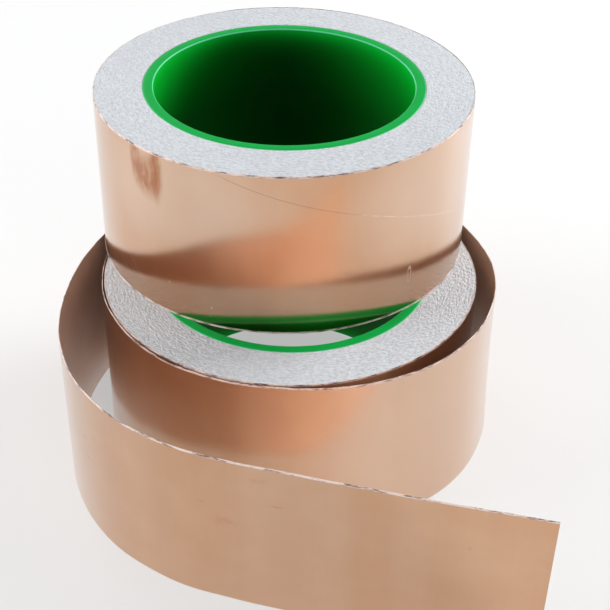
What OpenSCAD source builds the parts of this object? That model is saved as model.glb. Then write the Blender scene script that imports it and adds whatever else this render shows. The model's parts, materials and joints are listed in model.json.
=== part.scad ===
// Copper foil tape: two rolls stacked flat, one with its tape drawn off in a loose loop.
// Origin: axis of the lower roll, at the surface it lies on. +Z up, millimetres.

/* [Roll] */
// Inner diameter of the plastic core (a 3 inch core)
core_bore_d = 76.2; // [70:0.1:77]
// Wall thickness of the plastic core
core_wall = 3.2; // [2.6:0.1:4]
// Chamfer on the core's four edges
core_chamfer = 0.5; // [0.2:0.1:0.8]
// Outer diameter of the wound tape
pack_d = 111; // [100:0.5:116]
// Width of the tape, which is the height of a roll lying flat
tape_w = 50; // [30:1:60]

/* [Layers] */
// Number of half turns of tape in a roll (an odd number)
half_turns = 47; // [31:2:51]
// Thickness of the copper foil layer
foil_t = 0.15; // [0.1:0.01:0.18]
// Thickness of the adhesive layer
adhesive_t = 0.1; // [0.05:0.01:0.12]
// Arc of the strip that holds the first turn to the core, in degrees
starter_arc = 50; // [20:5:55]

/* [Stack] */
// How far the upper roll stands to the side of the lower one
upper_x = -2.2; // [-10:0.1:10]
// How far the upper roll stands behind the lower one
upper_y = 22.7; // [0:0.1:25]
// Direction in which the upper roll's tape ends, in degrees
upper_end_angle = 110; // [60:5:150]

/* [Loose tape] */
// Gap between the wound pack and the start of the loose wrap
wrap_gap = 0.5; // [0.4:0.1:1.5]
// Height left free between the loose tape and the upper roll
top_gap = 0.3; // [0.2:0.1:1]
// Space left at each line where the loose tape flexes
flex_gap = 0.4; // [0.2:0.1:0.6]
// Direction in which the tape leaves the pack, in degrees
peel_angle = 150; // [145:1:155]

/* [Hidden] */
$fa = 1;
$fs = 0.5;

bore_r = core_bore_d / 2;
core_r = bore_r + core_wall;
pack_r = pack_d / 2;
wrap_r = pack_r + wrap_gap;
loose_h = tape_w - top_gap;

// One full turn of the spiral grows by the pitch, and the last half turn ends at pack_r
pitch = (pack_r - core_r) / ((half_turns + 1) / 2);
liner_t = pitch - foil_t - adhesive_t;

// The drawn-off tape is a chain of tangent arcs, each [radius, degrees turned]
ARCS = [
    [wrap_r, 109], [wrap_r + 17, 20], [wrap_r - 1, 91], [wrap_r + 5, 136],
    [wrap_r + 33, 44], [wrap_r + 7, 63], [1100, 4.5]
];
WRAP_ARCS = [0, 3];
START_ARC = 4;
CURVE_ARC = 5;
END_ARC = 6;
// Length of the short chords that draw an arc of the loose tape
chord = 2.5;

// Heading, start point and centre of arc i, found by walking along the chain
function heading(i) = i == 0 ? peel_angle + 90 : heading(i - 1) + ARCS[i - 1][1];
function side(angle) = [sin(angle), -cos(angle)];
function start(i) =
    i == 0 ? wrap_r * [cos(peel_angle), sin(peel_angle)]
           : centre(i - 1) + ARCS[i - 1][0] * side(heading(i));
function centre(i) = start(i) - ARCS[i][0] * side(heading(i));

// Points along arc i from one angle to another, set out from the arc by some distance
function arc_points(i, from_angle, to_angle, outset) =
    let (
        radius = ARCS[i][0],
        steps = ceil((to_angle - from_angle) * PI / 180 * radius / chord),
        first_step = i == WRAP_ARCS[0] || i > WRAP_ARCS[1] ? 0 : 1
    )
    [for (k = [first_step : steps])
        centre(i) + (radius + outset)
            * side(heading(i) + from_angle + (to_angle - from_angle) * k / steps)];

module core_tube() {
    rotate_extrude()
        polygon([
            [bore_r + core_chamfer, 0], [core_r - core_chamfer, 0],
            [core_r, core_chamfer], [core_r, tape_w - core_chamfer],
            [core_r - core_chamfer, tape_w], [bore_r + core_chamfer, tape_w],
            [bore_r, tape_w - core_chamfer], [bore_r, core_chamfer]
        ]);
}

// One layer of the spiral, made of half circles whose centre steps by half the pitch
module spiral_layer(inset, thickness, end_angle) {
    rotate([0, 0, end_angle - 180])
        for (i = [0 : half_turns - 1])
            translate([(i % 2) * pitch / 2, 0, 0])
                rotate([0, 0, (i % 2) * 180])
                    rotate_extrude(angle = 180)
                        translate([core_r + i * pitch / 2 + inset, 0])
                            square([thickness, tape_w]);
}

// Sticky strip in the crescent between the core and the first turn
module starter_strip(end_angle) {
    first_turn_r = core_r + pitch / 2;
    rotate([0, 0, end_angle - 180])
        intersection() {
            difference() {
                translate([pitch / 2, 0, 0]) cylinder(r = first_turn_r, h = tape_w);
                cylinder(r = core_r, h = tape_w);
            }
            rotate([0, 0, 355 - starter_arc])
                rotate_extrude(angle = starter_arc)
                    translate([core_r - 1, 1])
                        square([3, tape_w - 2]);
        }
}

module liner_layer(end_angle) { spiral_layer(0, liner_t, end_angle); }
module adhesive_layer(end_angle) { spiral_layer(liner_t, adhesive_t, end_angle); }
module foil_layer(end_angle) { spiral_layer(liner_t + adhesive_t, foil_t, end_angle); }

module on_top() { translate([upper_x, upper_y, tape_w]) children(); }

function arc_angle(length, radius) = length / radius * 180 / PI;
function reverse(list) = [for (k = [len(list) - 1 : -1 : 0]) list[k]];

// One edge of the loose tape over some of the arcs, cut back where the tape flexes
function edge_points(first, last, outset) =
    [for (i = [first : last])
        let (
            cut = arc_angle(flex_gap / 2, ARCS[i][0]),
            from_angle = i == first && first > 0 ? cut : 0,
            to_angle = ARCS[i][1] - (i == last && last < END_ARC ? cut : 0)
        )
        each arc_points(i, from_angle, to_angle, outset)];

module loose_layer(first, last, inset, thickness) {
    linear_extrude(loose_h)
        polygon(concat(
            edge_points(first, last, inset + thickness),
            reverse(edge_points(first, last, inset))
        ));
}
module loose_foil(first, last) { loose_layer(first, last, 0, foil_t); }
module loose_adhesive(first, last) { loose_layer(first, last, -adhesive_t, adhesive_t); }

module lower_core() { color("limegreen") core_tube(); }
module lower_starter_strip() { color("khaki") starter_strip(peel_angle); }
module lower_foil() { color("peru") foil_layer(peel_angle); }
module lower_adhesive() { color("sienna") adhesive_layer(peel_angle); }
module lower_liner() { color("lightgrey") liner_layer(peel_angle); }

module upper_core() { color("limegreen") on_top() core_tube(); }
module upper_starter_strip() { color("khaki") on_top() starter_strip(upper_end_angle); }
module upper_foil() { color("peru") on_top() foil_layer(upper_end_angle); }
module upper_adhesive() { color("sienna") on_top() adhesive_layer(upper_end_angle); }
module upper_liner() { color("lightgrey") on_top() liner_layer(upper_end_angle); }

module loose_wrap_foil() { color("burlywood") loose_foil(WRAP_ARCS[0], WRAP_ARCS[1]); }
module loose_wrap_adhesive() { color("saddlebrown") loose_adhesive(WRAP_ARCS[0], WRAP_ARCS[1]); }
module tail_start_foil() { color("tan") loose_foil(START_ARC, START_ARC); }
module tail_start_adhesive() { color("saddlebrown") loose_adhesive(START_ARC, START_ARC); }
module tail_curve_foil() { color("burlywood") loose_foil(CURVE_ARC, CURVE_ARC); }
module tail_curve_adhesive() { color("saddlebrown") loose_adhesive(CURVE_ARC, CURVE_ARC); }
module tail_end_foil() { color("tan") loose_foil(END_ARC, END_ARC); }
module tail_end_adhesive() { color("saddlebrown") loose_adhesive(END_ARC, END_ARC); }

lower_core();
lower_starter_strip();
lower_foil();
lower_adhesive();
lower_liner();
upper_core();
upper_starter_strip();
upper_foil();
upper_adhesive();
upper_liner();
loose_wrap_foil();
loose_wrap_adhesive();
tail_start_foil();
tail_start_adhesive();
tail_curve_foil();
tail_curve_adhesive();
tail_end_foil();
tail_end_adhesive();
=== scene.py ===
"""Looks for two stacked rolls of copper foil tape, the lower one with its tape drawn off.

The lower roll's axis is the z axis. Angles are in degrees, from +x towards +y. A place on the
tape is its distance along the tape and its height over the tape's lower edge.
"""
import json
import math

import bpy
import numpy as np
from mathutils import Matrix, Vector


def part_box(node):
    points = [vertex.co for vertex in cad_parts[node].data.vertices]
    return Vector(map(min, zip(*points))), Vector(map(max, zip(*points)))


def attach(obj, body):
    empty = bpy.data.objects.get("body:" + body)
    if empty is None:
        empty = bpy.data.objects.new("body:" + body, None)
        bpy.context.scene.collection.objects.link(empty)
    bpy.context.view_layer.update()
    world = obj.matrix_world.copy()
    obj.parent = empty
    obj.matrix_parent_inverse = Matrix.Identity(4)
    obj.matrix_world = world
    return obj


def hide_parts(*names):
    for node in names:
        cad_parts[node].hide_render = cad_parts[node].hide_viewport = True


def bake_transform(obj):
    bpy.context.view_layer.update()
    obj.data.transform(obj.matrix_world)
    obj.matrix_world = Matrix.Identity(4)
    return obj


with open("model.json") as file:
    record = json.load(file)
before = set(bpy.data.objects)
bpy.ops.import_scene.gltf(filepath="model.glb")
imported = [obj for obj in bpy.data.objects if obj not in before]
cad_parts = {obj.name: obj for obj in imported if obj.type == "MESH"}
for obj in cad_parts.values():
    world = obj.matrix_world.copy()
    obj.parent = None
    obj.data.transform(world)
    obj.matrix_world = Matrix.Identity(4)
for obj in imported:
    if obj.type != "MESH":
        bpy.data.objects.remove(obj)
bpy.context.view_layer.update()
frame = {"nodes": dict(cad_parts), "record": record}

MM = 0.001
MOUNTS = {m["name"]: m for m in frame["record"]["mounts"]}

# ---- Sizes, from the frame ----
CORE_LOW, CORE_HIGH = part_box("lower_core")
TAPE_W = CORE_HIGH.z - CORE_LOW.z
CORE_R = (CORE_HIGH.x - CORE_LOW.x) / 2
BORE_R = MOUNTS["lower_core_bore"]["dims"]["r_mm"] * MM
PACK_LOW, PACK_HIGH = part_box("upper_foil")
PACK_R = (PACK_HIGH.y - PACK_LOW.y) / 2
LOOSE_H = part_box("loose_wrap_foil")[1].z
UPPER_AT = Vector(MOUNTS["upper_core_bore"]["pos_m"])
UPPER_AT.z = PACK_LOW.z
LOWER_AT = Vector((0, 0, 0))

# ---- Sizes that the photograph adds ----
WRAP_R = PACK_R + 0.5 * MM
# Where the lower roll's tape leaves the pack, and where the upper roll's tape ends
PEEL_ANGLE = 150
UPPER_END_ANGLE = 110
# The drawn-off tape, arc by arc: radius, degrees turned. The tail starts with FIRST_TAIL_ARC
LOOSE_ARCS = [
    (WRAP_R, 109), (WRAP_R + 17 * MM, 20), (WRAP_R - 1 * MM, 91), (WRAP_R + 5 * MM, 136),
    (WRAP_R + 33 * MM, 44), (WRAP_R + 7 * MM, 63), (1100 * MM, 4.5),
]
FIRST_TAIL_ARC = 4

# ---- Sizes of what the CAD leaves out ----
FOIL_T = 0.13 * MM
ADHESIVE_T = 0.09 * MM
# The adhesive reaches into the foil a little, and stays short of the tape's edges
ADHESIVE_LAP = 0.03 * MM
ADHESIVE_INSET = 0.35 * MM
REAL_TURN = 0.19 * MM
# The slit turns that an end face shows
TURNS = 74
# The tape's edges: how far they turn in, over what height, and that a cut lower edge turns
# out this many times as far
EDGE_ROLL = 0.13 * MM
EDGE_ROLL_H = 0.7 * MM
CUT_ROLL = 1.2
CORE_FILLET = 0.5 * MM
# An end face: how deep it lies, and how much its turns, its grain and its slow waves vary
END_SUNK = 0.02 * MM
TURN_STEP = 0.028 * MM
PAPER_GRAIN = 0.022 * MM
LEAN = 0.03 * MM
# The flexing zones reach this far to both sides of a hinge; the wrap ends just before the first
WRAP_ENDS_BEFORE = 31 * MM

# ---- How finely the meshes are cut ----
TAPE_STEP = 1.0 * MM
ROW_STEP = 2.4 * MM
EDGE_ROWS = [z * MM for z in (0, 0.05, 0.15, 0.3, 0.55, 0.9, 1.5, 2.5)]
CORE_SEGMENTS = 256
PACK_SEGMENTS = 480
FILLET_POINTS = 5
SHARP_ANGLE = 38

RNG = np.random.default_rng(7)


# ---- Camera ----
CAMERA_AT = Vector((-0.0022, -0.3139, 0.2616))
CAMERA_DOWN, CAMERA_RIGHT, CAMERA_ROLL = 35.648, 1.227, 1.111
LENS = 74.57


def camera():
    """Looks along +y, turned down and a little to the right, and rolled."""
    data = bpy.data.cameras.new("camera")
    data.lens = LENS
    data.sensor_width = 36
    data.clip_start = 0.01
    obj = bpy.data.objects.new("camera", data)
    sideways = Matrix.Rotation(math.radians(-CAMERA_RIGHT), 4, "Z")
    down = Matrix.Rotation(math.radians(90 - CAMERA_DOWN), 4, "X")
    roll_over = Matrix.Rotation(math.radians(CAMERA_ROLL), 4, "Z")
    obj.matrix_world = Matrix.Translation(CAMERA_AT) @ sideways @ down @ roll_over
    bpy.context.scene.collection.objects.link(obj)
    bpy.context.scene.camera = obj


camera()


# ---- Lines of tangent arcs ----
class Chain:
    """A flat line of tangent arcs that all turn left: (radius, degrees) each."""

    def __init__(self, centre, radius, angle, arcs):
        point = np.array([centre[0] + radius * math.cos(math.radians(angle)),
                          centre[1] + radius * math.sin(math.radians(angle))])
        heading = math.radians(angle + 90)
        self.arcs = []
        self.ends = [0.0]
        for arc_r, degrees in arcs:
            side = np.array([math.sin(heading), -math.cos(heading)])
            self.arcs.append((point - arc_r * side, arc_r, heading))
            heading += math.radians(degrees)
            point = self.arcs[-1][0] + arc_r * np.array([math.sin(heading), -math.cos(heading)])
            self.ends.append(self.ends[-1] + arc_r * math.radians(degrees))
        self.length = self.ends[-1]

    def at(self, s):
        """Points on the line and the directions out of its left turn, at distances s."""
        s = np.atleast_1d(s)
        index = np.clip(np.searchsorted(self.ends, s, side="right") - 1, 0, len(self.arcs) - 1)
        centres = np.array([a[0] for a in self.arcs])[index]
        radii = np.array([a[1] for a in self.arcs])[index]
        headings = np.array([a[2] for a in self.arcs])[index]
        turned = headings + (s - np.array(self.ends)[index]) / radii
        side = np.stack([np.sin(turned), -np.cos(turned)], axis=1)
        return centres + radii[:, None] * side, side


LOOSE = Chain((0, 0), WRAP_R, PEEL_ANGLE, LOOSE_ARCS)


def outer_turn(at, end_angle):
    """The last turn of a roll: two half circles whose centre steps, as in a true spiral."""
    radius = PACK_R - FOIL_T - REAL_TURN / 2
    return Chain((at.x, at.y), radius, end_angle, [(radius, 180), (radius + REAL_TURN / 2, 180)])


# ---- Meshes ----
def new_object(name, points, faces, attribute, values):
    """A smooth mesh that is sharp at its edges, with one vector attribute on its points."""
    mesh = bpy.data.meshes.new(name)
    mesh.from_pydata([tuple(p) for p in points], [], faces)
    layer = mesh.attributes.new(attribute, "FLOAT_VECTOR", "POINT")
    layer.data.foreach_set("vector", np.asarray(values, np.float32).ravel())
    mesh.polygons.foreach_set("use_smooth", [True] * len(mesh.polygons))
    mesh.update()
    mesh.set_sharp_from_angle(angle=math.radians(SHARP_ANGLE))
    obj = bpy.data.objects.new(name, mesh)
    bpy.context.scene.collection.objects.link(obj)
    return obj


def tape_rows(height):
    """Heights from one edge of the tape to the other, closer together at both edges."""
    margin = EDGE_ROWS[-1]
    count = max(2, round((height - 2 * margin) / ROW_STEP))
    middle = [margin + (height - 2 * margin) * k / count for k in range(1, count)]
    return np.array(EDGE_ROWS + middle + [height - z for z in reversed(EDGE_ROWS)])


def strip_faces(count, around):
    """Faces of a closed strip: count + 1 loops of around points, with both ends filled."""
    faces = []
    for i in range(count):
        for j in range(around):
            k = (j + 1) % around
            faces.append((i * around + j, (i + 1) * around + j,
                          (i + 1) * around + k, i * around + k))
    last = count * around
    for j in range(around // 2 - 1):
        a, b, c, d = j, j + 1, around - 2 - j, around - 1 - j
        faces.append((a, b, c, d))
        faces.append((last + d, last + c, last + b, last + a))
    return faces


def ribbon(name, chain, s_from, s_to, inner, outer, low, height, sway, rolled=True, cut=True):
    """A closed strip of tape along chain. inner and outer are its faces' distances out.

    rolled: the edges are turned a little. cut: the lower edge is burred as well as the upper
    one, and turns out.
    """
    rows = tape_rows(height)
    count = max(2, math.ceil((s_to - s_from) / TAPE_STEP))
    s = np.linspace(s_from, s_to, count + 1)
    places, side = chain.at(s)
    rim = np.minimum(rows, height - rows)
    roll_in = EDGE_ROLL * np.clip(1 - rim / EDGE_ROLL_H, 0, 1) ** 2 if rolled else 0 * rows
    roll_in = np.where(rows < height / 2, (-CUT_ROLL if cut else 1) * roll_in, roll_in)
    swayed = sway(s[:, None], rows[None, :])
    loops = []
    for offset, order in ((outer, 1), (inner, -1)):
        out = (offset - roll_in[None, :] + swayed)[:, ::order]
        xy = places[:, None, :] + side[:, None, :] * out[:, :, None]
        z = np.broadcast_to(rows[::order] + low, out.shape)
        loops.append(np.concatenate([xy, z[:, :, None]], axis=2))
    grid = np.concatenate(loops, axis=1)

    # The attribute "tape": distance along, height, distance from the nearest cut edge
    heights = np.concatenate([rows, rows[::-1]])
    values = np.zeros(grid.shape)
    values[:, :, 0] = s[:, None]
    values[:, :, 1] = heights[None, :]
    values[:, :, 2] = (np.minimum(heights, height - heights) if cut else height - heights)[None]
    values = values.reshape(-1, 3)
    obj = new_object(name, grid.reshape(-1, 3), strip_faces(count, grid.shape[1]), "tape", values)
    lay_out(obj, values[:, :2])
    return obj


def lay_out(obj, flat):
    """A UV map in tenths of a metre, so that shaders know which way the tape runs."""
    corners = np.empty(len(obj.data.loops), np.int32)
    obj.data.loops.foreach_get("vertex_index", corners)
    layer = obj.data.uv_layers.new(name="tape_map")
    layer.data.foreach_set("uv", (flat[corners] * 10).astype(np.float32).ravel())


def ring_faces(segments, around):
    """Faces of a closed ring: segments loops of around points."""
    i = np.arange(segments)[:, None]
    j = np.arange(around)[None]
    i2, j2 = (i + 1) % segments, (j + 1) % around
    faces = [i * around + j, i2 * around + j, i2 * around + j2, i * around + j2]
    return np.stack(faces, axis=2).reshape(-1, 4)


def lathe(name, at, profile, segments):
    """A closed ring: profile is a loop of (radius, height), turned about the roll's axis."""
    radii, heights = np.array(profile).T
    angle = np.linspace(0, 2 * math.pi, segments, endpoint=False)
    x = radii[None] * np.cos(angle)[:, None] + at.x
    y = radii[None] * np.sin(angle)[:, None] + at.y
    z = np.broadcast_to(heights + at.z, x.shape)
    points = np.stack([x, y, z], axis=2).reshape(-1, 3)
    faces = ring_faces(segments, len(profile)).tolist()
    return new_object(name, points, faces, "from_axis", points - np.array(at))


def fillet(corner, inward, radius):
    """Points round a corner. inward: signs of the way to the fillet's centre."""
    centre_r = corner[0] + inward[0] * radius
    centre_z = corner[1] + inward[1] * radius
    return [(centre_r - inward[0] * radius * math.cos(a), centre_z - inward[1] * radius * math.sin(a))
            for a in np.linspace(0, math.pi / 2, FILLET_POINTS)]


def core_profile():
    """Down the bore, out along the bottom, up the outside and in along the top."""
    inner, outer, f = BORE_R, CORE_R, CORE_FILLET
    walls = [TAPE_W * k / 12 for k in range(1, 12)]
    return (fillet((inner, TAPE_W), (1, -1), f)[::-1] + [(inner, z) for z in reversed(walls)]
            + fillet((inner, 0), (1, 1), f) + fillet((outer, 0), (-1, 1), f)[::-1]
            + [(outer, z) for z in walls] + fillet((outer, TAPE_W), (-1, -1), f))


def end_relief(radii, angle):
    """How deep each point of an end face lies: each turn's own step, grain and slow waves."""
    steps = RNG.normal(0, TURN_STEP, TURNS)
    grain = RNG.normal(0, PAPER_GRAIN, (PACK_SEGMENTS, TURNS))
    lean = sum(
        LEAN * np.sin(k * angle[:, None] + RNG.uniform(0, 6) + radii[None] * 900 * k)
        for k in (1, 2, 3)) / 3
    return np.abs(steps[None] + grain) + END_SUNK + lean


def windings(name, at):
    """The wound layers: a ring whose end faces step up and down from turn to turn.

    Its points run out along the top and in along the bottom, so its faces point inwards.
    """
    radii = np.linspace(CORE_R, PACK_R - FOIL_T - REAL_TURN, TURNS)
    angle = np.linspace(0, 2 * math.pi, PACK_SEGMENTS, endpoint=False)
    bottom = end_relief(radii, angle)
    top = TAPE_W - end_relief(radii, angle)
    loops = []
    for z, order in ((top, 1), (bottom, -1)):
        x = radii[None, ::order] * np.cos(angle)[:, None] + at.x
        y = radii[None, ::order] * np.sin(angle)[:, None] + at.y
        loops.append(np.stack([x, y, z[:, ::order] + at.z], axis=2))
    points = np.concatenate(loops, axis=1)
    # Each face starts one corner on, which sets the diagonal that it is divided along
    faces = np.roll(ring_faces(PACK_SEGMENTS, points.shape[1]), -1, axis=1).tolist()
    points = points.reshape(-1, 3)
    return new_object(name, points, faces, "from_axis", points - np.array(at))


# ---- How the tape sways from its smooth line ----
# Waves across the tape: height in mm, length over 2 pi in metres, shift
LOOSE_WAVES = [(0.10, 0.0115, 0.7), (0.07, 0.0068, 2.1), (0.04, 0.0031, 0)]
WOUND_WAVES = [(0.012, 0.0049, 0), (0.01, 0.0087, 1.3)]
RIPPLE, RIPPLE_LENGTH = 0.05, 0.0043
# The flare: how far along the tape, how wide to each side, and how far out in mm
FLARE_AT, FLARE_HALF, FLARE_OUT = 0.170, 0.075, 1.8


def waves(s, parts):
    return sum(height * np.sin(s / length + shift) for height, length, shift in parts)


def loose_sway(s, z):
    """Slow waves in the drawn-off foil, a ripple at its edges and a flare at the lower right."""
    near_edge = (np.abs(z / LOOSE_H - 0.5) * 2) ** 3
    ripple = RIPPLE * near_edge * np.sin(s / RIPPLE_LENGTH + 3 * z / LOOSE_H)
    flare = np.exp(-(((s - FLARE_AT) / FLARE_HALF) ** 2) * 1.6) * (1 - z / LOOSE_H) ** 2
    return (waves(s, LOOSE_WAVES) + ripple + FLARE_OUT * flare) * MM


def wound_sway(s, z):
    """The outer turn lies on the pack: only faint flats across the tape."""
    return (waves(s, WOUND_WAVES) + 0 * z) * MM


# ---- Materials ----
# The numbers of a colour Mix node's sockets: factor, two colours, result
MIX_FACTOR, MIX_A, MIX_B, MIX_RESULT = 0, 6, 7, 2


class Nodes:
    """A material and short ways to add nodes to it."""

    def __init__(self, name):
        self.material = bpy.data.materials.new(name)
        self.material.use_nodes = True
        self.tree = self.material.node_tree
        self.shader = self.tree.nodes["Principled BSDF"]

    def add(self, kind, inputs=None, **settings):
        node = self.tree.nodes.new(kind)
        for key, value in settings.items():
            setattr(node, key, value)
        for key, value in (inputs or {}).items():
            self.put(node.inputs[key], value)
        return node

    def put(self, socket, value):
        """Link a node's output to the socket, or give the socket a constant."""
        if isinstance(value, bpy.types.NodeSocket):
            self.tree.links.new(value, socket)
        else:
            socket.default_value = value

    def set(self, **values):
        """Inputs of the shader, with _ for the spaces in their names."""
        for key, value in values.items():
            self.put(self.shader.inputs[key.replace("_", " ")], value)

    def math(self, operation, *values):
        node = self.add("ShaderNodeMath", operation=operation)
        for socket, value in zip(node.inputs, values):
            self.put(socket, value)
        return node.outputs[0]

    def plus(self, a, b):
        return self.math("ADD", a, b)

    def minus(self, a, b):
        return self.math("SUBTRACT", a, b)

    def times(self, a, b):
        return self.math("MULTIPLY", a, b)

    def over(self, a, b):
        return self.math("DIVIDE", a, b)

    def split(self, attribute):
        """A mesh attribute and its three parts."""
        vector = self.add("ShaderNodeAttribute", attribute_name=attribute).outputs["Vector"]
        parts = self.add("ShaderNodeSeparateXYZ", {"Vector": vector}).outputs
        return vector, parts[0], parts[1], parts[2]

    def stretch(self, vector, scale):
        return self.add("ShaderNodeMapping", {"Vector": vector, "Scale": scale}).outputs[0]

    def noise(self, vector, scale, detail=2.0, roughness=0.5):
        return self.add("ShaderNodeTexNoise", {
            "Vector": vector, "Scale": scale, "Detail": detail, "Roughness": roughness,
        }).outputs["Fac"]

    def ramp(self, value, low, high, to_low=0.0, to_high=1.0):
        """to_low up to low, to_high from high on, and a smooth step between them."""
        return self.add("ShaderNodeMapRange", {
            "Value": value, "From Min": low, "From Max": high, "To Min": to_low, "To Max": to_high,
        }, interpolation_type="SMOOTHSTEP").outputs[0]

    def blend(self, factor, a, b):
        """Colour a where factor is 0 and colour b where it is 1."""
        node = self.add("ShaderNodeMix", data_type="RGBA", blend_type="MIX")
        self.put(node.inputs[MIX_FACTOR], factor)
        for index, colour in ((MIX_A, a), (MIX_B, b)):
            linked = isinstance(colour, bpy.types.NodeSocket)
            self.put(node.inputs[index], colour if linked else (*colour, 1))
        return node.outputs[MIX_RESULT]

    def bump(self, height, distance, normal=None):
        """A normal tilted by the height's slope, on top of another normal if one is given."""
        inputs = {"Height": height, "Distance": distance, "Strength": 1.0}
        if normal is not None:
            inputs["Normal"] = normal
        return self.add("ShaderNodeBump", inputs).outputs[0]


COPPER = (0.635, 0.360, 0.205)
COPPER_PALE = (0.66, 0.390, 0.232)
# Pale copper for painted sheen
COPPER_PAINTED_SHEEN = (0.77, 0.57, 0.44)
COPPER_TARNISH = (0.40, 0.17, 0.085)
# Pale copper for the painted highlights of the scratch, scuffs and nick
COPPER_SHINE = (0.86, 0.70, 0.60)
COPPER_BAND = (0.30, 0.17, 0.11)
# A painted highlight along the cut edges, and the dark nibbles in it
CUT_PAINTED_HIGHLIGHT = (0.82, 0.67, 0.61)
CUT_DARK = (0.16, 0.075, 0.065)
# The burred strip along a cut edge, with a painted highlight: its full width, and where it has faded
# out
BURR_FULL, BURR_GONE = 0.42 * MM, 0.62 * MM


def oval(m, along, up, at, half, core):
    """1 in the core of an oval on the tape, fading to 0 at its rim.

    at and half: (along, up). core: how far out the fading starts, as a share of the oval.
    """
    across = m.over(m.minus(along, at[0]), half[0])
    rise = m.over(m.minus(up, at[1]), half[1])
    far = m.plus(m.times(across, across), m.times(rise, rise))
    return m.ramp(m.math("SQRT", far), core, 1.0, 1, 0)


def copper(name, marks=None):
    """Bright rolled foil. marks adds the marks of one piece and returns its colour and normal."""
    m = Nodes(name)
    place, along, up, rim = m.split("tape")
    cloud = m.noise(place, 55, 3, 0.55)
    colour = m.blend(m.ramp(cloud, 0.35, 0.7), COPPER, COPPER_PALE)
    smudge = m.ramp(m.noise(m.stretch(place, (1, 1.6, 1)), 95, 4, 0.62), 0.66, 0.8)
    colour = m.blend(m.times(smudge, 0.35), colour, COPPER_TARNISH)

    # Upright bands, a painted sheen in upright stretches and fine cockles: noise that hardly changes
    # with height
    bands = m.noise(m.stretch(place, (1, 0.01, 0)), 120, 2, 0.5)
    colour = m.blend(m.ramp(bands, 0.3, 0.7, 0.05, 0), colour, COPPER_BAND)
    painted_sheen = m.noise(m.stretch(place, (1, 0.08, 0)), 26, 2, 0.4)
    colour = m.blend(m.ramp(painted_sheen, 0.42, 0.6, 0, 0.2), colour, COPPER_PAINTED_SHEEN)
    cockle = m.noise(m.stretch(place, (1, 0.02, 0)), 1500, 2, 0.6)
    colour = m.blend(m.ramp(cockle, 0.35, 0.65, 0.025, 0), colour, COPPER_TARNISH)
    normal = m.bump(cockle, 0.007 * MM, m.bump(bands, 0.05 * MM))
    if marks:
        colour, normal = marks(m, colour, normal, along, up, place)

    # The nibbled burr along the cut edges: rougher and less metallic, with a painted highlight broken
    # by dark nibbles
    burr_and_painted_highlight = m.ramp(rim, BURR_FULL, BURR_GONE, 1, 0)
    nibble = m.ramp(m.noise(m.stretch(place, (0.35, 2, 0)), 620, 4, 0.75), 0.45, 0.64)
    colour = m.blend(burr_and_painted_highlight, colour, m.blend(nibble, CUT_PAINTED_HIGHLIGHT, CUT_DARK))
    rough = m.plus(0.19, m.times(cloud, 0.04))
    rough = m.plus(rough, m.times(smudge, 0.12))
    rough = m.plus(rough, m.times(burr_and_painted_highlight, 0.22))

    tangent = m.add("ShaderNodeTangent", direction_type="UV_MAP", uv_map="tape_map")
    m.set(Base_Color=colour, Roughness=rough, Normal=normal, Tangent=tangent.outputs[0],
          Metallic=m.minus(1.0, m.times(burr_and_painted_highlight, 0.6)), Anisotropic=0.88,
          Coat_Weight=0.8, Coat_Roughness=0.14, Coat_IOR=1.5)
    return m.material


GLUE = (0.80, 0.61, 0.51)
GLUE_PALE = (0.85, 0.68, 0.59)


def adhesive(name):
    """The sticky back of the foil: the copper shows through a brownish film."""
    m = Nodes(name)
    place = m.split("tape")[0]
    cloud = m.noise(place, 70, 4, 0.6)
    normal = m.bump(m.noise(m.stretch(place, (1, 0.1, 0)), 160, 3), 0.06 * MM)
    normal = m.bump(m.noise(place, 1900, 3, 0.6), 0.004 * MM, normal)
    m.set(Base_Color=m.blend(m.ramp(cloud, 0.3, 0.7), GLUE, GLUE_PALE), Metallic=0.45,
          Roughness=m.plus(0.30, m.times(cloud, 0.12)), Normal=normal)
    return m.material


PAPER = (0.505, 0.525, 0.55)
PAPER_PALE = (0.63, 0.665, 0.705)
PAPER_WARM = (0.58, 0.56, 0.56)
PAPER_SPECK = (0.20, 0.15, 0.13)


def paper_edge(name):
    """Slit paper edges: grey, matt and grainy, with darker specks in patches."""
    m = Nodes(name)
    place, x, y = m.split("from_axis")[:3]
    radius = m.math("SQRT", m.plus(m.times(x, x), m.times(y, y)))
    turns = m.noise(m.add("ShaderNodeCombineXYZ", {"X": radius}).outputs[0], 2600, 2, 0.6)
    # The radius in place of the height draws the grain out along the turns
    turned = m.add("ShaderNodeCombineXYZ", {"X": x, "Y": y, "Z": m.times(radius, 1.8)})
    grain = m.noise(turned.outputs[0], 800, 3, 0.55)
    colour = m.blend(m.ramp(grain, 0.34, 0.64), PAPER, PAPER_PALE)
    colour = m.blend(m.ramp(turns, 0.35, 0.65, 0, 0.25), colour, PAPER_WARM)
    speck = m.ramp(m.noise(place, 1300, 3, 0.75), 0.685, 0.73)
    patches = m.ramp(m.noise(place, 60, 3, 0.5), 0.4, 0.6, 0.15, 0.8)
    colour = m.blend(m.times(speck, patches), colour, PAPER_SPECK)
    m.set(Base_Color=colour, Roughness=0.82, Normal=m.bump(grain, 0.62 * MM),
          Specular_IOR_Level=0.25)
    return m.material


# Painted shade deep in the bore, painted glow under the rims and painted light at the sides
GREEN_PAINTED_SHADE = (0.0004, 0.030, 0.002)
GREEN_PAINTED_SIDE_LIGHT = (0.001, 0.34, 0.018)
GREEN_RIM = (0.004, 0.37, 0.062)
GREEN_PAINTED_RIM_GLOW = (0.001, 0.46, 0.032)
GREEN_FLOW = (0.001, 0.10, 0.01)
GREEN_PAINTED_HIGHLIGHT = (0.14, 0.66, 0.34)
# How far from a rim the painted light fades to about a third: all round, and at the painted lit sides
RIM_LIGHT, SIDE_LIGHT = 2.6 * MM, 24 * MM


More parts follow.
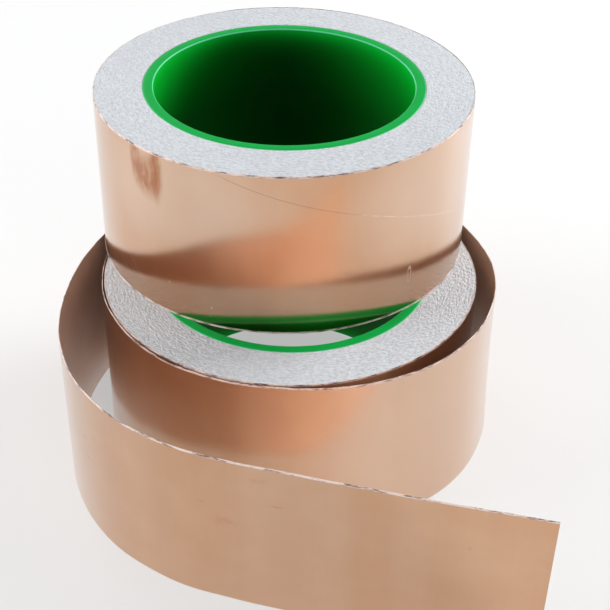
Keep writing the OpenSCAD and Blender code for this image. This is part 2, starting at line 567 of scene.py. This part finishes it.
def core_plastic(name):
    """Glossy green plastic with painted light: bright under its rims, dying away into painted shade
    inside the tube, and lighter at the sides.
    """
    m = Nodes(name)
    place, x, _, up = m.split("from_axis")
    from_rim = m.math("MINIMUM", up, m.minus(TAPE_W, up))
    flow = m.noise(place, 140, 2)
    # Painted glow under the rims, painted light at the sides, painted shade deep inside
    glow = m.blend(m.ramp(from_rim, 0.4 * MM, 1.2 * MM), GREEN_RIM, GREEN_PAINTED_RIM_GLOW)
    side = m.math("POWER", m.over(x, BORE_R), 2)
    far = m.times(side, m.math("EXPONENT", m.over(from_rim, -SIDE_LIGHT)))
    near = m.math("EXPONENT", m.over(from_rim, -RIM_LIGHT))
    colour = m.blend(far, GREEN_PAINTED_SHADE, GREEN_PAINTED_SIDE_LIGHT)
    colour = m.blend(near, colour, glow)
    colour = m.blend(m.times(flow, 0.2), colour, GREEN_FLOW)
    # A painted highlight: a pale line on the rounded rim
    line_start = m.ramp(from_rim, 0.03 * MM, 0.1 * MM)
    line_end = m.ramp(from_rim, 0.4 * MM, 0.5 * MM, 1, 0)
    line = m.times(line_start, line_end)
    colour = m.blend(m.times(line, 0.8), colour, GREEN_PAINTED_HIGHLIGHT)
    m.set(Base_Color=colour, Roughness=m.plus(0.3, m.times(flow, 0.1)),
          Normal=m.bump(m.noise(place, 900, 2), 0.006 * MM), Specular_IOR_Level=0.06)
    return m.material


STRIP = (0.62, 0.56, 0.36)
STRIP_PALE = (0.78, 0.73, 0.52)


def starter_tape(name):
    """Yellowish tape that holds the first turn to the core."""
    m = Nodes(name)
    place = m.add("ShaderNodeTexCoord").outputs["Object"]
    m.set(Base_Color=m.blend(m.noise(place, 900, 3), STRIP, STRIP_PALE), Roughness=0.35)
    return m.material


FLOOR = (0.37, 0.37, 0.37)
FLOOR_PALE = (0.39, 0.39, 0.39)
FLOOR_GLOW = 0.45


def floor_material(name):
    """A pale floor that glows a little, like a light table."""
    m = Nodes(name)
    place = m.add("ShaderNodeTexCoord").outputs["Object"]
    m.set(Base_Color=m.blend(m.noise(place, 9, 2), FLOOR, FLOOR_PALE), Roughness=0.6,
          Specular_IOR_Level=0.1, Emission_Color=(1, 1, 1, 1), Emission_Strength=FLOOR_GLOW)
    return m.material


def paint(obj, material):
    obj.data.materials.clear()
    obj.data.materials.append(material)


# ---- Marks on the upper roll: angle round its axis, height, and half sizes both ways ----
SCRATCH_FROM, SCRATCH_TO = (-110, 49.6 * MM), (-27, 22.4 * MM)
# Painted sheen: broad pale patches on both front sides
PAINTED_SHEENS = [(-38, 38 * MM, 44 * MM, 28 * MM), (-122, 38 * MM, 38 * MM, 26 * MM)]
STAINS = [(-136.5, 46 * MM, 2.8 * MM, 10 * MM), (-128.5, 45 * MM, 3.0 * MM, 12.5 * MM),
          (-132, 42 * MM, 6.4 * MM, 8.5 * MM)]
SCUFFS = (-143, 9 * MM, 18 * MM, 5.5 * MM)
NICK = (-51, 11.5 * MM, 0.9 * MM, 3.3 * MM)
NICK_LINE = (0.3 * MM, 0.6 * MM)
NICK_DEPTH = 0.16 * MM
GLINTS = [(-111.5, 6 * MM), (-112, 3 * MM), (-125.5, 10.5 * MM)]
GLINT_HALF = (0.5 * MM, 0.4 * MM)
STAIN = (0.42, 0.145, 0.045)
SCRATCH_SHADE = (0.24, 0.14, 0.09)
GLINT = (0.95, 0.82, 0.74)


def upper_along(angle):
    """Where on the upper roll's outer turn an angle round its axis falls."""
    return math.radians((angle - UPPER_END_ANGLE) % 360) * PACK_R


def mark(m, along, up, sizes, core):
    """An oval on the upper roll: angle, height and both half sizes."""
    angle, height, half_along, half_up = sizes
    return oval(m, along, up, (upper_along(angle), height), (half_along, half_up), core)


def scratch(m, colour, along, up, place):
    """A long, slightly bent scratch: painted shade at first, a bright, broken painted highlight later
    on.
    """
    start, stop = upper_along(SCRATCH_FROM[0]), upper_along(SCRATCH_TO[0])
    slope = (SCRATCH_TO[1] - SCRATCH_FROM[1]) / (stop - start)
    bend = m.times(m.math("SINE", m.times(along, 75)), 0.5 * MM)
    on_it = m.plus(m.times(m.minus(along, start), slope), SCRATCH_FROM[1])
    off = m.math("ABSOLUTE", m.minus(m.minus(up, on_it), bend))
    line = m.ramp(off, 0.06 * MM, 0.24 * MM, 1, 0)
    line = m.times(line, m.ramp(along, start, start + 4 * MM))
    line = m.times(line, m.ramp(along, stop - 6 * MM, stop, 1, 0))
    late = m.ramp(along, start + 34 * MM, start + 46 * MM)
    dotted = m.ramp(m.noise(place, 700, 2), 0.42, 0.6, 0.1, 0.55)
    # Painted shade along the first part, a painted highlight along the later part
    shade = m.times(line, m.times(m.minus(1.0, late), 0.32))
    light = m.times(line, m.times(late, dotted))
    colour = m.blend(shade, colour, SCRATCH_SHADE)
    return m.blend(light, colour, COPPER_SHINE)


def upper_marks(m, colour, normal, along, up, place):
    """The upper roll's painted sheen, stain, long scratch with painted shade and highlight, scuffs
    and nick with painted highlights, and glints.
    """
    # Painted sheen on both front sides
    for sizes in PAINTED_SHEENS:
        painted_sheen = mark(m, along, up, sizes, 0.3)
        colour = m.blend(m.times(painted_sheen, 0.55), colour, COPPER_PAINTED_SHEEN)
    streak = m.noise(m.stretch(place, (1, 0.3, 0)), 480, 4, 0.6)
    for sizes in STAINS:
        stain = mark(m, along, up, sizes, 0.25)
        stain = m.times(stain, m.ramp(streak, 0.35, 0.6, 0.5, 0.95))
        colour = m.blend(stain, colour, STAIN)
    colour = scratch(m, colour, along, up, place)

    # Scuffs: real wear, drawn as painted highlights in bright hairlines
    turned = (0, 0, math.radians(38))
    crossing = m.add("ShaderNodeMapping", {"Vector": place, "Rotation": turned}).outputs[0]
    hairs = m.noise(m.stretch(crossing, (0.03, 1, 0)), 1500, 2, 0.6)
    scuffs = m.times(mark(m, along, up, SCUFFS, 0.2), m.ramp(hairs, 0.55, 0.62, 0, 0.6))
    colour = m.blend(scuffs, colour, COPPER_SHINE)

    # A nick: a real dent in the normal, with a painted highlight round its rim
    angle, height, half_along, half_up = NICK
    within = (angle, height, half_along - NICK_LINE[0], half_up - NICK_LINE[1])
    nick = mark(m, along, up, NICK, 0.55)
    nick_rim_highlight = m.minus(nick, mark(m, along, up, within, 0.6))
    colour = m.blend(m.times(nick_rim_highlight, 0.85), colour, COPPER_SHINE)
    normal = m.bump(nick, -NICK_DEPTH, normal)
    for sizes in GLINTS:
        glint = mark(m, along, up, sizes + GLINT_HALF, 0.3)
        colour = m.blend(m.times(glint, 0.8), colour, GLINT)
    return colour, normal


# ---- Marks on the drawn-off tape: distance along it, height, and half sizes both ways ----
# A painted sheen over one stretch of the drawn-off tape
LOOSE_PAINTED_SHEEN = (165 * MM, LOOSE_H / 2, 55 * MM, 120 * MM)
SMUDGES = [
    (515 * MM, 45 * MM, 3.0 * MM, 1.0 * MM), (520 * MM, 37.5 * MM, 2.6 * MM, 0.8 * MM),
    (499.5 * MM, 34 * MM, 1.8 * MM, 0.7 * MM), (506 * MM, 28.5 * MM, 5.5 * MM, 2.8 * MM),
    (568 * MM, 36 * MM, 0.9 * MM, 1.1 * MM), (460 * MM, 40.4 * MM, 1.2 * MM, 1.4 * MM),
]
SMUDGE = (0.56, 0.22, 0.13)


def loose_marks(m, colour, normal, along, up, place):
    """A painted sheen over one stretch, and finger smudges on the drawn-off tape."""
    # Painted sheen
    painted_sheen = oval(m, along, up, LOOSE_PAINTED_SHEEN[:2], LOOSE_PAINTED_SHEEN[2:], 0.4)
    colour = m.blend(m.times(painted_sheen, 0.5), colour, COPPER_PAINTED_SHEEN)
    mottle = m.noise(place, 420, 4, 0.65)
    for sizes in SMUDGES:
        smudge = oval(m, along, up, sizes[:2], sizes[2:], 0.1)
        smudge = m.times(smudge, m.ramp(mottle, 0.4, 0.62, 0.05, 0.45))
        colour = m.blend(smudge, colour, SMUDGE)
    return colour, normal


MAT_COPPER = copper("copper_foil")
MAT_COPPER_UPPER = copper("copper_foil_upper", upper_marks)
MAT_COPPER_LOOSE = copper("copper_foil_loose", loose_marks)
MAT_ADHESIVE = adhesive("adhesive_film")
MAT_PAPER = paper_edge("slit_paper_edges")
MAT_CORE = core_plastic("green_core_plastic")
MAT_STARTER = starter_tape("starter_tape")


# ---- The two rolls ----
def roll(prefix, body, at, end_angle, foil_material):
    """One roll: its core tube, its windings, its outer turn and its hidden starter strip."""
    core = lathe(prefix + "_core_tube", at, core_profile(), CORE_SEGMENTS)
    paint(core, MAT_CORE)
    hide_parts(prefix + "_core")

    layers = windings(prefix + "_windings", at)
    paint(layers, MAT_PAPER)
    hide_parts(prefix + "_liner", prefix + "_adhesive")

    line = outer_turn(at, end_angle)
    turn = ribbon(prefix + "_outer_turn", line, 0, line.length, 0, FOIL_T, at.z, TAPE_W, wound_sway)
    paint(turn, foil_material)
    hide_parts(prefix + "_foil")

    for piece in (core, layers, turn):
        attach(piece, body)
    paint(frame["nodes"][prefix + "_starter_strip"], MAT_STARTER)


roll("lower", "lower_roll", LOWER_AT, PEEL_ANGLE, MAT_COPPER)
roll("upper", "upper_roll", UPPER_AT, UPPER_END_ANGLE, MAT_COPPER_UPPER)


# ---- The drawn-off tape: one sheet in four pieces, cut between the places where it flexes ----
BODIES = ["loose_wrap", "tail_start", "tail_curve", "tail_end"]
FLEX = LOOSE.ends[FIRST_TAIL_ARC:FIRST_TAIL_ARC + 3]
CUTS = [0, FLEX[0] - WRAP_ENDS_BEFORE, (FLEX[0] + FLEX[1]) / 2, (FLEX[1] + FLEX[2]) / 2,
        LOOSE.length]


def loose_layer(part, inner, outer, low, height, material, rolled):
    """One layer of the drawn-off tape, from its inner to its outer distance from the line."""
    for k, body in enumerate(BODIES):
        piece = ribbon(f"{body}_{part}_sheet", LOOSE, CUTS[k], CUTS[k + 1], inner, outer, low,
                       height, lambda s, z: loose_sway(s, z + low), rolled=rolled, cut=False)
        paint(piece, material)
        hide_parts(f"{body}_{part}")
        if k == 0:
            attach(piece, body)
        else:
            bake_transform(piece)


loose_layer("foil", 0, FOIL_T, 0, LOOSE_H, MAT_COPPER_LOOSE, True)
loose_layer("adhesive", -ADHESIVE_T, ADHESIVE_LAP, ADHESIVE_INSET, LOOSE_H - 2 * ADHESIVE_INSET,
            MAT_ADHESIVE, False)


# ---- Floor, world and lights ----
FLOOR_HALF = 25.0
FLOOR_DROP = 0.05 * MM
SKY = (0.98, 0.985, 1.0, 1)
# The sky's strength falls from the first value to the second between these heights
SKY_FADE = {"From Min": 0.02, "From Max": 0.3, "To Min": 0.88, "To Max": 0.5}
# Name, place, what it is aimed at, size, watts
SOFTBOXES = [
    ("key", (0.85, 0.5, 0.42), (0.02, -0.06, 0.03), (0.5, 0.4), 14),
    ("left", (-0.9, -0.1, 0.4), (0, 0, 0.05), (0.6, 0.5), 7),
    ("back", (-0.5, 0.85, 0.5), (-0.03, -0.1, 0.03), (0.5, 0.4), 1.8),
    ("front", (0.1, -0.7, 0.9), (0, 0, 0.05), (0.6, 0.6), 1),
]


def floor():
    """A wide floor, just below the part."""
    half = FLOOR_HALF
    corners = [(-half, -half, 0), (half, -half, 0), (half, half, 0), (-half, half, 0)]
    mesh = bpy.data.meshes.new("floor")
    mesh.from_pydata(corners, [], [(0, 1, 2, 3)])
    obj = bpy.data.objects.new("floor", mesh)
    obj.location.z = -FLOOR_DROP
    bpy.context.scene.collection.objects.link(obj)
    paint(obj, floor_material("floor_white"))


def sky():
    """A cool white sky, brighter near the horizon."""
    world = bpy.data.worlds.new("studio")
    bpy.context.scene.world = world
    world.use_nodes = True
    tree = world.node_tree
    way = tree.nodes.new("ShaderNodeTexCoord")
    height = tree.nodes.new("ShaderNodeSeparateXYZ")
    fade = tree.nodes.new("ShaderNodeMapRange")
    for key, value in SKY_FADE.items():
        fade.inputs[key].default_value = value
    tree.links.new(way.outputs["Generated"], height.inputs[0])
    tree.links.new(height.outputs["Z"], fade.inputs["Value"])
    tree.links.new(fade.outputs[0], tree.nodes["Background"].inputs["Strength"])
    tree.nodes["Background"].inputs["Color"].default_value = SKY


def softbox(name, at, target, size, watts):
    """A rectangular light at one place, aimed at another."""
    data = bpy.data.lights.new(name, "AREA")
    data.shape = "RECTANGLE"
    data.size, data.size_y = size
    data.energy = watts
    obj = bpy.data.objects.new(name, data)
    obj.location = at
    obj.rotation_euler = (Vector(target) - Vector(at)).to_track_quat("-Z", "Y").to_euler()
    bpy.context.scene.collection.objects.link(obj)


floor()
sky()
for light in SOFTBOXES:
    softbox(*light)
bpy.context.scene.view_settings.view_transform = "Standard"

bpy.context.view_layer.update()
